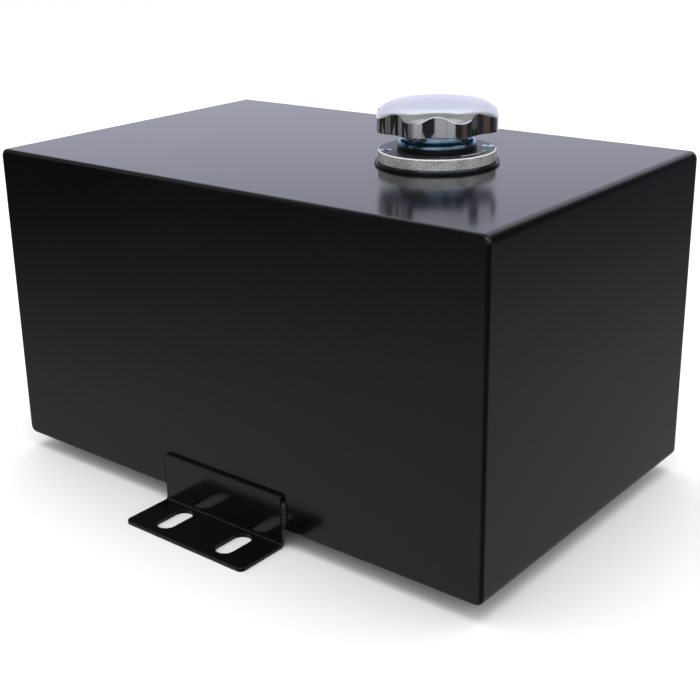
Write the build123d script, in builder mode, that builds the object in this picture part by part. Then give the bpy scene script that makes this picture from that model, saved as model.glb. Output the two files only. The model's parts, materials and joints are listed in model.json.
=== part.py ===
from build123d import *
from math import acos, cos, radians, sin, sqrt
import os

# Rectangular welded steel hydraulic reservoir with two slotted foot brackets
# and a quarter-turn filler and breather cap.
#
# All lengths are millimetres and all angles are degrees.
# +Z is up, +X runs along the long side of the tank and -Y is its front face.
# The origin is on the surface that the brackets stand on, under the middle of the tank.

# ---------------------------------------------------------------------------
# Driving dimensions
# ---------------------------------------------------------------------------

# tank box
TANK_LENGTH = 446.0
TANK_DEPTH = 277.0
TANK_HEIGHT = 240.0
SHEET = 2.5
BEND_RADIUS = 6.0
SEAM_ROUNDING = 2.4
FLOOR_GAP = 12.5
SEAM_X = -70.0
SEAM_WIDTH = 1.6
SEAM_CROWN = 0.6
SEAM_CROWN_ROUNDING = 0.5

# baffle between the suction side and the return side
BAFFLE_HEIGHT = 165.0
BAFFLE_FOOT = 20.0
BAFFLE_SIDE_GAP = 1.0
BAFFLE_CORNER_CUT = 35.0
BAFFLE_HOLE_RADIUS = 12.0
BAFFLE_HOLE_HEIGHT = 99.0
BAFFLE_HOLE_SPACING = 90.0
BAFFLE_HOLES = 3

# slotted foot brackets
BRACKET_LENGTH = 116.0
BRACKET_X = 2.0
BRACKET_SHEET = 3.0
BRACKET_BEND = 5.0
BRACKET_REACH = 45.0
BRACKET_LEG_TOP = 28.0
BRACKET_CORNER = 4.0
BRACKET_TOP_CORNER = 2.0
BRACKET_EDGE = 0.6
SLOT_SPACING = 59.0
SLOT_LENGTH = 31.5
SLOT_WIDTH = 15.0
SLOT_CENTRE_OUT = 22.2
BRACKET_WELD = 3.0
BRACKET_WELD_LENGTH = 20.0
WELD_HOLLOW = 0.42

# ports on the rear face, (x, height above the tank bottom)
SUCTION_X = -150.0
SUCTION_HEIGHT = 45.0
SUCTION_BORE = 15.15
SUCTION_BUNG_RADIUS = 23.0
RETURN_X = 150.0
RETURN_HEIGHT = 190.0
RETURN_BORE = 12.06
RETURN_BUNG_RADIUS = 19.0
BUNG_OUTSIDE = 16.0
BUNG_INSIDE = 8.0
BUNG_WELD = 4.0
BUNG_CHAMFER = 0.8
BUNG_CLEARANCE = 0.05
DROP_TUBE_RADIUS = 15.0
DROP_TUBE_WALL = 2.5
DROP_TUBE_BEND = 30.0
DROP_TUBE_Y = 85.5
DROP_TUBE_END = 35.0

# drain in the tank bottom
DRAIN_X = -150.0
DRAIN_BORE = 9.3
DRAIN_BUNG_RADIUS = 17.0
DRAIN_BUNG_BELOW = 3.0
DRAIN_BUNG_ABOVE = 9.0
DRAIN_WELD = 2.4
DRAIN_WASHER = 1.5
DRAIN_WASHER_RADIUS = 13.0
DRAIN_HEAD = 4.0
DRAIN_HEAD_FLATS = 27.0
DRAIN_SOCKET_FLATS = 10.0
THREAD_GAP = 0.05

# filler neck
NECK_X = 88.0
NECK_Y = 5.0
NECK_HOLE_RADIUS = 27.0
GASKET_RADIUS = 44.0
GASKET_THICK = 1.6
LIP_RADIUS = 40.5
LIP_THICK = 0.5
UPPER_GASKET_THICK = 0.6
FLANGE_RADIUS = 41.5
FLANGE_THICK = 7.6
FLANGE_EDGE = 0.7
THROAT_RADIUS = 21.5
THROAT_LIP = 3.0
UNDERCUT_RADIUS = 26.0
NOTCH_RADIUS = 24.8
NOTCH_HALF_ANGLE = 16.0
OVERLAP = 1.0
SCREW_CIRCLE = 36.5
SCREW_ANGLE = 45.0
SCREW_COUNT = 4
SCREW_RADIUS = 2.3
SCREW_HEAD_RADIUS = 4.3
SCREW_LENGTH = 20.0
SCREW_CLEARANCE = 0.3
SCREW_HEAD_GAP = 0.1
SCREW_CROSS_WIDTH = 1.0
SCREW_CROSS_LENGTH = 4.4
SCREW_CROSS_DEPTH = 1.5

# strainer basket
BASKET_RADIUS = 24.0
BASKET_SHEET = 0.6
BASKET_COLLAR = 12.0
BASKET_DEPTH = 76.0
BASKET_GAP = 0.05
BASKET_HOLE = 2.4
BASKET_ROWS = 6
BASKET_HOLES_PER_ROW = 16
BASKET_ROW_PITCH = 9.5
BASKET_CUTTER = 4.0

# quarter-turn lock
TURN = 90.0
LOCK_DROP = 1.5
LOCK_RADIUS = 20.5
LOCK_WALL = 1.5
LOCK_TOP = 7.2
LOCK_FLOOR = -12.0
LOCK_FLOOR_THICK = 1.2
EAR_RADIUS = 24.2
EAR_HALF_ANGLE = 13.0
EAR_TOP = -3.5
EAR_THICK = 1.5
RAMP_CLEARANCE = 0.35
RAMP_HEIGHT = 1.9
RAMP_START = 19.0
RAMP_INSET = 0.3
RAMP_BURY = 0.5
STOP_ANGLE = 8.0
STOP_GAP = 1.0
START_GAP = 1.5
STOP_BOTTOM = -7.2
STUD_RADIUS = 3.0
STUD_HEAD_RADIUS = 5.5
STUD_HEAD = 2.0
SPRING_LENGTH = 12.5
SPRING_RADIUS = 6.0
SPRING_WIRE = 0.7
SPRING_TURNS = 5
SPRING_WASHER_RADIUS = 8.5
SPRING_WASHER = 1.3
SLIDE_GAP = 0.3

# seal and its pan-shaped plate, heights above the flange top
SEAL_BOTTOM = 0.1
SEAL_INNER = 22.8
SEAL_OUTER = 28.0
SEAL_SHOULDER = 3.6
SEAL_UPPER_RADIUS = 24.2
SEAL_TOP = 6.4
SEAL_ROUNDING = 1.0
PLATE_RADIUS = 27.2
PLATE_BOTTOM = 3.7
PLATE_TOP = 7.4
PLATE_THICK = 0.8
PLATE_SHOULDER = 3.0
PLATE_BORE = 21.1
PLATE_LIP_BOTTOM = 4.2

# breather housing, heights above the flange top
HOUSING_RADIUS = 19.8
HOUSING_WALL = 0.9
HOUSING_BOTTOM = 7.7
HOUSING_FLANGE_RADIUS = 23.5
FILTER_RADIUS = 18.6
FILTER_INNER = 8.0
FILTER_HEIGHT = 10.0
VENT_PLATE_BOTTOM = 20.0
VENT_PLATE_THICK = 1.0
VENT_PLATE_RADIUS = 38.2
AIR_HOLE = 2.0
AIR_CIRCLE = 12.3
AIR_HOLES = 8
VENT_CIRCLE = 29.0
VENT_HOLES = 16

# chrome cover
COVER_RADIUS = 44.3
COVER_HEIGHT = 21.4
COVER_RIM = 14.2
COVER_WALL = 1.6
SKIRT_HEIGHT = 9.7
CROWN_RADIUS = 177.0
SHOULDER_RADIUS = 20.4
FLUTES = 8
FLUTE_BOTTOM_RADIUS = 40.2
FLUTE_CUT_RADIUS = 19.0
FLUTE_ROUNDING = 14.5
FLUTE_PHASE = -10.5
COVER_EDGE = 0.9
DOME_OVERHANG = 1.0
ARCH_RISE = 6.0

# ---------------------------------------------------------------------------
# Heights and places that follow from the dimensions above
# ---------------------------------------------------------------------------

FRONT = -TANK_DEPTH / 2
REAR = TANK_DEPTH / 2
TANK_BOTTOM = FLOOR_GAP
TANK_TOP = FLOOR_GAP + TANK_HEIGHT
TANK_MIDDLE = FLOOR_GAP + TANK_HEIGHT / 2
INNER_LENGTH = TANK_LENGTH - 2 * SHEET
INNER_HEIGHT = TANK_HEIGHT - 2 * SHEET
INNER_BEND = BEND_RADIUS - SHEET
INNER_FLOOR = TANK_BOTTOM + SHEET
LEG_TOP = TANK_BOTTOM + BRACKET_LEG_TOP
NECK = (NECK_X, NECK_Y)
NECK_AXIS = Axis((NECK_X, NECK_Y, 0), (0, 0, 1))
SLOT_Y = TANK_DEPTH / 2 + SLOT_CENTRE_OUT
LIP_BOTTOM = TANK_TOP + GASKET_THICK
LIP_TOP = LIP_BOTTOM + LIP_THICK
FLANGE_BOTTOM = LIP_TOP + UPPER_GASKET_THICK
FLANGE_TOP = FLANGE_BOTTOM + FLANGE_THICK
COVER_BOTTOM = FLANGE_TOP + COVER_RIM

os.makedirs("parts", exist_ok=True)


def save(builder, name):
    """Label a finished sub-part and write it to its own STEP file."""
    builder.part.label = name
    export_step(builder.part, f"parts/{name}.step")


def neck_plane(height):
    """Horizontal plane on the filler axis, at a height above the flange top."""
    return Plane((NECK_X, NECK_Y, FLANGE_TOP + height))


def neck_section(height=0, angle=0):
    """Upright plane through the filler axis, with local x radial and local y up."""
    across = cos(radians(angle))
    along = sin(radians(angle))
    origin = (NECK_X, NECK_Y, FLANGE_TOP + height)
    return Plane(origin, x_dir=(across, along, 0), z_dir=(along, -across, 0))


def ring(radius, bore):
    """Flat ring in the current sketch."""
    Circle(radius)
    Circle(bore, mode=Mode.SUBTRACT)


def sector(inner, outer, start, end):
    """Piece of a ring between two angles, in the current sketch."""
    middle = (start + end) / 2

    def at(radius, angle):
        return (radius * cos(radians(angle)), radius * sin(radians(angle)))

    with BuildLine() as outline:
        ThreePointArc(at(outer, start), at(outer, middle), at(outer, end))
        Line(at(outer, end), at(inner, end))
        ThreePointArc(at(inner, end), at(inner, middle), at(inner, start))
        Line(at(inner, start), at(outer, start))
    make_face(outline.edges())


def weld_section(corner, across, up, leg):
    """Hollow-faced triangle of weld metal in a corner, in the current sketch.

    across and up are -1 or 1: the ways in which the weld runs from the corner along
    local x and local y.
    """
    x, y = corner
    hollow = leg * WELD_HOLLOW
    toe = (x + across * leg, y)
    crest = (x, y + up * leg)
    with BuildLine() as outline:
        Line(corner, toe)
        ThreePointArc(toe, (x + across * hollow, y + up * hollow), crest)
        Line(crest, corner)
    make_face(outline.edges())


# ---------------------------------------------------------------------------
# Tank box
# ---------------------------------------------------------------------------

# one sheet bent round the top, both ends and the bottom, open at front and rear
with BuildPart() as shell_wrapper:
    with BuildSketch(Plane.XZ):
        with Locations((0, TANK_MIDDLE)):
            RectangleRounded(TANK_LENGTH, TANK_HEIGHT, BEND_RADIUS)
            RectangleRounded(INNER_LENGTH, INNER_HEIGHT, INNER_BEND, mode=Mode.SUBTRACT)
    extrude(amount=TANK_DEPTH / 2 - SHEET, both=True)
    with BuildSketch(Plane.XY.offset(TANK_TOP)):
        with Locations(NECK):
            Circle(NECK_HOLE_RADIUS)
            with PolarLocations(SCREW_CIRCLE, SCREW_COUNT, start_angle=SCREW_ANGLE):
                Circle(SCREW_RADIUS + THREAD_GAP)
    extrude(amount=-SHEET, mode=Mode.SUBTRACT)
    with BuildSketch(Plane.XY.offset(TANK_BOTTOM)):
        with Locations((DRAIN_X, 0)):
            Circle(DRAIN_BUNG_RADIUS + BUNG_CLEARANCE)
        with Locations((SEAM_X, 0)):
            Rectangle(SEAM_WIDTH, TANK_DEPTH)
    extrude(amount=SHEET, mode=Mode.SUBTRACT)
save(shell_wrapper, "shell_wrapper")

# butt weld that closes the bent sheet along the bottom
with BuildPart() as wrapper_seam_weld:
    with BuildSketch(Plane.XZ):
        with Locations((SEAM_X, TANK_BOTTOM + SHEET / 2)):
            Rectangle(SEAM_WIDTH, SHEET)
        with Locations((SEAM_X, TANK_BOTTOM - SEAM_CROWN / 2)):
            Rectangle(2 * SEAM_WIDTH, SEAM_CROWN)
    extrude(amount=TANK_DEPTH / 2 - SHEET, both=True)
    fillet(wrapper_seam_weld.edges().filter_by(Axis.Y).group_by(Axis.Z)[0], SEAM_CROWN_ROUNDING)
save(wrapper_seam_weld, "wrapper_seam_weld")

# flat end plate at the front
with BuildPart() as front_plate:
    with BuildSketch(Plane.XZ.offset(-FRONT)):
        with Locations((0, TANK_MIDDLE)):
            RectangleRounded(INNER_LENGTH, INNER_HEIGHT, INNER_BEND)
    extrude(amount=-SHEET)
save(front_plate, "front_plate")

# flat end plate at the rear, with the two port holes
with BuildPart() as rear_plate:
    with BuildSketch(Plane.XZ.offset(-REAR)):
        with Locations((0, TANK_MIDDLE)):
            RectangleRounded(INNER_LENGTH, INNER_HEIGHT, INNER_BEND)
        with Locations((SUCTION_X, TANK_BOTTOM + SUCTION_HEIGHT)):
            Circle(SUCTION_BUNG_RADIUS + BUNG_CLEARANCE, mode=Mode.SUBTRACT)
        with Locations((RETURN_X, TANK_BOTTOM + RETURN_HEIGHT)):
            Circle(RETURN_BUNG_RADIUS + BUNG_CLEARANCE, mode=Mode.SUBTRACT)
    extrude(amount=SHEET)
save(rear_plate, "rear_plate")

# ground corner welds that join the end plates to the bent sheet
for name, face_y, inward in (("front_seam_weld", FRONT, -1), ("rear_seam_weld", REAR, 1)):
    with BuildPart() as seam_weld:
        with BuildSketch(Plane.XZ.offset(-face_y)):
            with Locations((0, TANK_MIDDLE)):
                RectangleRounded(TANK_LENGTH, TANK_HEIGHT, BEND_RADIUS)
        extrude(amount=inward * SHEET)
        outer_face = seam_weld.faces().sort_by(Axis.Y)[0 if face_y < 0 else -1]
        fillet(outer_face.edges(), SEAM_ROUNDING)
        with BuildSketch(Plane.XZ.offset(-face_y)):
            with Locations((0, TANK_MIDDLE)):
                RectangleRounded(INNER_LENGTH, INNER_HEIGHT, INNER_BEND)
        extrude(amount=inward * SHEET, mode=Mode.SUBTRACT)
    save(seam_weld, name)

# upright baffle across the tank, on a bent foot, with its lower corners cut away
with BuildPart() as baffle_plate:
    baffle_width = TANK_DEPTH - 2 * SHEET - 2 * BAFFLE_SIDE_GAP
    with BuildSketch(Plane.YZ):
        with Locations((0, INNER_FLOOR + BAFFLE_HEIGHT / 2)):
            Rectangle(baffle_width, BAFFLE_HEIGHT)
        with Locations((-baffle_width / 2, INNER_FLOOR), (baffle_width / 2, INNER_FLOOR)):
            Rectangle(2 * BAFFLE_CORNER_CUT, 2 * BAFFLE_CORNER_CUT, mode=Mode.SUBTRACT)
        with Locations((0, INNER_FLOOR + BAFFLE_HOLE_HEIGHT)):
            with GridLocations(BAFFLE_HOLE_SPACING, 1, BAFFLE_HOLES, 1):
                Circle(BAFFLE_HOLE_RADIUS, mode=Mode.SUBTRACT)
    extrude(amount=SHEET)
    with BuildSketch(Plane.XY.offset(INNER_FLOOR)):
        with Locations((BAFFLE_FOOT / 2, 0)):
            Rectangle(BAFFLE_FOOT, baffle_width - 2 * BAFFLE_CORNER_CUT)
    extrude(amount=SHEET)
save(baffle_plate, "baffle_plate")

# ---------------------------------------------------------------------------
# Foot brackets: an angle welded low on the front face, and one on the rear face
# ---------------------------------------------------------------------------

for name, side in (("front_bracket", -1), ("rear_bracket", 1)):
    # section with local x pointing away from the tank face and local y up
    section = Plane(
        origin=(BRACKET_X, side * TANK_DEPTH / 2, 0), x_dir=(0, side, 0), z_dir=(side, 0, 0)
    )
    with BuildPart() as bracket:
        with BuildSketch(section) as bracket_section:
            with BuildLine():
                Polyline(
                    (0, 0),
                    (BRACKET_REACH, 0),
                    (BRACKET_REACH, BRACKET_SHEET),
                    (BRACKET_SHEET, BRACKET_SHEET),
                    (BRACKET_SHEET, LEG_TOP),
                    (0, LEG_TOP),
                    close=True,
                )
            make_face()
            heel = bracket_section.vertices().sort_by_distance((0, 0))[0]
            fillet(heel, BRACKET_BEND)
            inner_corner = (BRACKET_SHEET, BRACKET_SHEET)
            inside = bracket_section.vertices().sort_by_distance(inner_corner)[0]
            fillet(inside, BRACKET_BEND - BRACKET_SHEET)
        extrude(amount=BRACKET_LENGTH / 2, both=True)
        # the four outer corners, seen from above and from the front, are rounded
        outermost = 0 if side < 0 else -1
        fillet(bracket.edges().filter_by(Axis.Z).group_by(Axis.Y)[outermost], BRACKET_CORNER)
        fillet(bracket.edges().filter_by(Axis.Y).group_by(Axis.Z)[-1], BRACKET_TOP_CORNER)
        # the foot's upper face and the leg's outer face have lightly rounded edges, all but
        # the two edges where these faces run into the bend
        foot_top = bracket.faces().filter_by(Axis.Z).sort_by(Axis.Z)[1]
        leg_front = bracket.faces().filter_by(Axis.Y).sort_by(Axis.Y)[1]
        bend_corner = (BRACKET_X, side * (TANK_DEPTH / 2 + BRACKET_SHEET), BRACKET_SHEET)
        rims = ShapeList(foot_top.edges() + leg_front.edges()).sort_by_distance(bend_corner)
        fillet(rims[2:], BRACKET_EDGE)
        with BuildSketch(Plane.XY):
            with Locations((BRACKET_X, side * SLOT_Y)):
                with GridLocations(SLOT_SPACING, 1, 2, 1):
                    SlotOverall(SLOT_LENGTH, SLOT_WIDTH, rotation=90)
        extrude(amount=BRACKET_SHEET, mode=Mode.SUBTRACT)
    save(bracket, name)

    # upright fillet welds at both ends of the angle, on the tank face
    with BuildPart() as bracket_welds:
        with BuildSketch(Plane.XY.offset(TANK_BOTTOM + BRACKET_WELD)):
            for end in (-1, 1):
                leg_end = (BRACKET_X + end * BRACKET_LENGTH / 2, side * TANK_DEPTH / 2)
                weld_section(leg_end, end, side, BRACKET_WELD)
        extrude(amount=BRACKET_WELD_LENGTH)
    save(bracket_welds, name + "_welds")

# ---------------------------------------------------------------------------
# Ports
# ---------------------------------------------------------------------------

PORTS = (
    ("suction_bung", SUCTION_X, SUCTION_HEIGHT, SUCTION_BUNG_RADIUS, SUCTION_BORE),
    ("return_bung", RETURN_X, RETURN_HEIGHT, RETURN_BUNG_RADIUS, RETURN_BORE),
)

# threaded weld-in bungs through the rear plate
for name, port_x, port_height, radius, bore in PORTS:
    with BuildPart() as bung:
        with BuildSketch(Plane.XZ.offset(-(REAR - BUNG_INSIDE))):
            with Locations((port_x, TANK_BOTTOM + port_height)):
                ring(radius, bore)
        extrude(amount=-BUNG_INSIDE - BUNG_OUTSIDE)
        mouth = bung.faces().sort_by(Axis.Y)[-1]
        chamfer(mouth.edges(), BUNG_CHAMFER)
    save(bung, name)

# fillet welds round both rear bungs and round the drain bung
with BuildPart() as bung_welds:
    for _, port_x, port_height, radius, _ in PORTS:
        port_z = TANK_BOTTOM + port_height
        with BuildSketch(Plane.XY.offset(port_z)):
            weld_section((port_x + radius, REAR), 1, 1, BUNG_WELD)
        revolve(axis=Axis((port_x, REAR, port_z), (0, 1, 0)))
    with BuildSketch(Plane.XZ):
        weld_section((DRAIN_X + DRAIN_BUNG_RADIUS, TANK_BOTTOM), 1, -1, DRAIN_WELD)
    revolve(axis=Axis((DRAIN_X, 0, TANK_BOTTOM), (0, 0, 1)))
save(bung_welds, "bung_welds")

# tube that carries returning oil below the oil level
with BuildPart() as return_drop_tube:
    tube_start = (RETURN_X, REAR - BUNG_INSIDE, TANK_BOTTOM + RETURN_HEIGHT)
    with BuildLine() as drop_path:
        FilletPolyline(
            tube_start,
            (RETURN_X, DROP_TUBE_Y, TANK_BOTTOM + RETURN_HEIGHT),
            (RETURN_X, DROP_TUBE_Y, TANK_BOTTOM + DROP_TUBE_END),
            radius=DROP_TUBE_BEND,
        )
    with BuildSketch(Plane(origin=tube_start, x_dir=(1, 0, 0), z_dir=(0, -1, 0))):
        ring(DROP_TUBE_RADIUS, DROP_TUBE_RADIUS - DROP_TUBE_WALL)
    sweep(path=drop_path.line)
save(return_drop_tube, "return_drop_tube")

# threaded drain bung in the tank bottom, its sealing washer and its plug
with BuildPart() as drain_bung:
    with BuildSketch(Plane.XY.offset(TANK_BOTTOM - DRAIN_BUNG_BELOW)):
        with Locations((DRAIN_X, 0)):
            ring(DRAIN_BUNG_RADIUS, DRAIN_BORE)
    extrude(amount=DRAIN_BUNG_BELOW + DRAIN_BUNG_ABOVE)
save(drain_bung, "drain_bung")

WASHER_BOTTOM = TANK_BOTTOM - DRAIN_BUNG_BELOW - DRAIN_WASHER

with BuildPart() as drain_washer:
    with BuildSketch(Plane.XY.offset(WASHER_BOTTOM)):
        with Locations((DRAIN_X, 0)):
            ring(DRAIN_WASHER_RADIUS, DRAIN_BORE + THREAD_GAP)
    extrude(amount=DRAIN_WASHER)
save(drain_washer, "drain_washer")

with BuildPart() as drain_plug:
    with BuildSketch(Plane.XY.offset(WASHER_BOTTOM)):
        with Locations((DRAIN_X, 0)):
            Circle(DRAIN_BORE - THREAD_GAP)
    extrude(amount=DRAIN_WASHER + DRAIN_BUNG_BELOW + DRAIN_BUNG_ABOVE)
    with BuildSketch(Plane.XY.offset(WASHER_BOTTOM)):
        with Locations((DRAIN_X, 0)):
            RegularPolygon(DRAIN_HEAD_FLATS / 2, 6, major_radius=False)
    extrude(amount=-DRAIN_HEAD)
    with BuildSketch(Plane.XY.offset(WASHER_BOTTOM - DRAIN_HEAD)):
        with Locations((DRAIN_X, 0)):
            RegularPolygon(DRAIN_SOCKET_FLATS / 2, 6, major_radius=False)
    extrude(amount=DRAIN_HEAD + DRAIN_BUNG_BELOW, mode=Mode.SUBTRACT)
save(drain_plug, "drain_plug")

# ---------------------------------------------------------------------------
# Filler neck: gaskets, strainer basket, flange and screws
# ---------------------------------------------------------------------------


def screw_holes(radius):
    """Holes for the flange screws, cut from the current sketch."""
    with PolarLocations(SCREW_CIRCLE, SCREW_COUNT, start_angle=SCREW_ANGLE):
        Circle(radius, mode=Mode.SUBTRACT)


# rubber gasket on the tank top, a little wider than the flange
with BuildPart() as flange_gasket:
    with BuildSketch(neck_plane(TANK_TOP - FLANGE_TOP)):
        ring(GASKET_RADIUS, NECK_HOLE_RADIUS)
        screw_holes(SCREW_RADIUS + SCREW_CLEARANCE)
    extrude(amount=GASKET_THICK)
save(flange_gasket, "flange_gasket")

# pressed collar whose lip is clamped under the flange
with BuildPart() as strainer_collar:
    with BuildSketch(neck_plane(LIP_BOTTOM - FLANGE_TOP)):
        ring(LIP_RADIUS, BASKET_RADIUS)
        screw_holes(SCREW_RADIUS + SCREW_CLEARANCE)
    extrude(amount=LIP_THICK)
    with BuildSketch(neck_plane(LIP_TOP - FLANGE_TOP)):
        ring(BASKET_RADIUS + BASKET_SHEET, BASKET_RADIUS)
    extrude(amount=-BASKET_COLLAR)
save(strainer_collar, "strainer_collar")

BASKET_TOP = LIP_BOTTOM - GASKET_THICK - SHEET

# perforated tube of the basket, outside the collar
with BuildPart() as strainer_mesh:
    mesh_inner = BASKET_RADIUS + BASKET_SHEET + BASKET_GAP
    with BuildSketch(neck_plane(BASKET_TOP - FLANGE_TOP)):
        ring(mesh_inner + BASKET_SHEET, mesh_inner)
    extrude(amount=-BASKET_DEPTH)
    for row in range(BASKET_ROWS):
        row_height = BASKET_TOP - BASKET_COLLAR - BASKET_ROW_PITCH * (row + 0.5)
        turn = (row % 2) * 180 / BASKET_HOLES_PER_ROW
        with Locations((NECK_X, NECK_Y, row_height)):
            with PolarLocations(mesh_inner, BASKET_HOLES_PER_ROW, start_angle=turn):
                Cylinder(BASKET_HOLE, BASKET_CUTTER, rotation=(0, 90, 0), mode=Mode.SUBTRACT)
save(strainer_mesh, "strainer_mesh")

# pressed floor that closes the perforated tube
with BuildPart() as strainer_floor:
    floor_radius = BASKET_RADIUS + 2 * BASKET_SHEET + 2 * BASKET_GAP
    basket_bottom = BASKET_TOP - BASKET_DEPTH - FLANGE_TOP
    with BuildSketch(neck_plane(basket_bottom)):
        Circle(floor_radius + BASKET_SHEET)
    extrude(amount=-BASKET_SHEET)
    with BuildSketch(neck_plane(basket_bottom)):
        ring(floor_radius + BASKET_SHEET, floor_radius)
    extrude(amount=BASKET_ROW_PITCH / 2)
save(strainer_floor, "strainer_floor")

# thin gasket between the strainer lip and the flange
with BuildPart() as strainer_gasket:
    with BuildSketch(neck_plane(LIP_TOP - FLANGE_TOP)):
        ring(LIP_RADIUS, NECK_HOLE_RADIUS)
        screw_holes(SCREW_RADIUS + SCREW_CLEARANCE)
    extrude(amount=UPPER_GASKET_THICK)
save(strainer_gasket, "strainer_gasket")

# die-cast flange: the throat lip has two notches, and two helical ramps run under it
with BuildPart() as filler_flange:
    with BuildSketch(neck_plane(0)):
        Circle(FLANGE_RADIUS)
    extrude(amount=-FLANGE_THICK)
    chamfer(filler_flange.faces().sort_by(Axis.Z)[-1].edges(), FLANGE_EDGE)
    with BuildSketch(neck_plane(0)):
        Circle(THROAT_RADIUS)
        for side in (0, 180):
            notch_start = side - NOTCH_HALF_ANGLE
            sector(THROAT_RADIUS - OVERLAP, NOTCH_RADIUS, notch_start, side + NOTCH_HALF_ANGLE)
    extrude(amount=-THROAT_LIP, mode=Mode.SUBTRACT)
    with BuildSketch(neck_plane(-THROAT_LIP)):
        Circle(UNDERCUT_RADIUS)
    extrude(amount=-FLANGE_THICK, mode=Mode.SUBTRACT)
    # under the lip, two ramps draw the lock ears down and two stops end the turn
    ramp_inner = THROAT_RADIUS + RAMP_INSET
    ramp_outer = UNDERCUT_RADIUS + RAMP_BURY
    ramp_middle = (ramp_inner + ramp_outer) / 2
    ramp_end = TURN + EAR_HALF_ANGLE
    ramp_rise = LOCK_DROP * (ramp_end - RAMP_START) / TURN
    ramp_low = EAR_TOP + RAMP_CLEARANCE - LOCK_DROP
    for side in (0, 180):
        # each ramp climbs anticlockwise, from the end of the turn back to the notch
        start = radians(side - ramp_end)
        ramp_base = (NECK_X, NECK_Y, FLANGE_TOP + ramp_low)
        ramp_pitch = LOCK_DROP * 360 / TURN
        with BuildLine():
            helix = Helix(ramp_pitch, ramp_rise, ramp_middle, center=ramp_base, mode=Mode.PRIVATE)
            add(helix.rotate(NECK_AXIS, side - ramp_end))
        foot = (
            NECK_X + ramp_middle * cos(start),
            NECK_Y + ramp_middle * sin(start),
            FLANGE_TOP + ramp_low,
        )
        outward = (cos(start), sin(start), 0)
        with BuildSketch(Plane(foot, x_dir=outward, z_dir=(sin(start), -cos(start), 0))):
            Rectangle(ramp_outer - ramp_inner, RAMP_HEIGHT, align=(Align.CENTER, Align.MIN))
        sweep(is_frenet=True)
    with BuildSketch(neck_plane(STOP_BOTTOM)):
        for side in (0, 180):
            end = side - ramp_end - STOP_GAP
            sector(ramp_inner, ramp_outer, end - STOP_ANGLE, end)
            begin = side + EAR_HALF_ANGLE + START_GAP
            sector(ramp_inner, ramp_outer, begin, begin + STOP_ANGLE)
    extrude(amount=RAMP_BURY - THROAT_LIP - STOP_BOTTOM)
    # countersunk holes for the screws
    with Locations(neck_plane(0)):
        with PolarLocations(SCREW_CIRCLE, SCREW_COUNT, start_angle=SCREW_ANGLE):
            CounterSinkHole(
                SCREW_RADIUS + SCREW_CLEARANCE,
                SCREW_HEAD_RADIUS + SCREW_HEAD_GAP,
                FLANGE_THICK,
                counter_sink_angle=90,
            )
save(filler_flange, "filler_flange")

# countersunk cross-recess screws that hold the whole neck to the tank top
with BuildPart() as flange_screws:
    with Locations(neck_plane(-SCREW_HEAD_RADIUS)):
        with PolarLocations(SCREW_CIRCLE, SCREW_COUNT, start_angle=SCREW_ANGLE):
            Cone(0, SCREW_HEAD_RADIUS, SCREW_HEAD_RADIUS, align=(Align.CENTER, Align.CENTER, Align.MIN))
    with BuildSketch(neck_plane(-SCREW_CROSS_DEPTH)):
        with PolarLocations(SCREW_CIRCLE, SCREW_COUNT, start_angle=SCREW_ANGLE):
            Circle(SCREW_RADIUS)
    extrude(amount=SCREW_CROSS_DEPTH - SCREW_LENGTH)
    with BuildSketch(neck_plane(0)):
        with PolarLocations(SCREW_CIRCLE, SCREW_COUNT, start_angle=SCREW_ANGLE):
            Rectangle(SCREW_CROSS_LENGTH, SCREW_CROSS_WIDTH)
            Rectangle(SCREW_CROSS_WIDTH, SCREW_CROSS_LENGTH)
    extrude(amount=-SCREW_CROSS_DEPTH, mode=Mode.SUBTRACT)
save(flange_screws, "flange_screws")

# ---------------------------------------------------------------------------
# Cap: the seal and its plate lift with it but do not turn
# ---------------------------------------------------------------------------

with BuildPart() as cap_seal:
    with BuildSketch(neck_section()) as seal_section:
        with BuildLine():
            Polyline(
                (SEAL_INNER, SEAL_BOTTOM),
                (SEAL_OUTER, SEAL_BOTTOM),
                (SEAL_OUTER, SEAL_SHOULDER),
                (SEAL_UPPER_RADIUS, SEAL_SHOULDER),
                (SEAL_UPPER_RADIUS, SEAL_TOP),
                (SEAL_INNER, SEAL_TOP),
                close=True,
            )
        make_face()
        rim = seal_section.vertices().group_by(Axis.X)[-1]
        fillet(rim, SEAL_ROUNDING)
    revolve(axis=NECK_AXIS)
save(cap_seal, "cap_seal")

with BuildPart() as seal_plate:
    with BuildSketch(neck_section()) as plate_section:
        with BuildLine():
            plate_under = PLATE_TOP - PLATE_THICK
            plate_inside = PLATE_RADIUS - PLATE_THICK
            Polyline(
                (PLATE_BORE, PLATE_TOP),
                (PLATE_RADIUS, PLATE_TOP),
                (PLATE_RADIUS, PLATE_BOTTOM),
                (plate_inside, PLATE_BOTTOM),
                (plate_inside, plate_under),
                (PLATE_BORE + PLATE_THICK, plate_under),
                (PLATE_BORE + PLATE_THICK, PLATE_LIP_BOTTOM),
                (PLATE_BORE, PLATE_LIP_BOTTOM),
                close=True,
            )
        make_face()
        shoulder = plate_section.vertices().sort_by_distance((PLATE_RADIUS, PLATE_TOP))[0]
        fillet(shoulder, PLATE_SHOULDER)
        inside = plate_section.vertices().sort_by_distance((plate_inside, plate_under))[0]
        fillet(inside, PLATE_SHOULDER - PLATE_THICK)
    revolve(axis=NECK_AXIS)
save(seal_plate, "seal_plate")

# ---------------------------------------------------------------------------
# Cap: everything that turns with the cover
# ---------------------------------------------------------------------------

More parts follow.
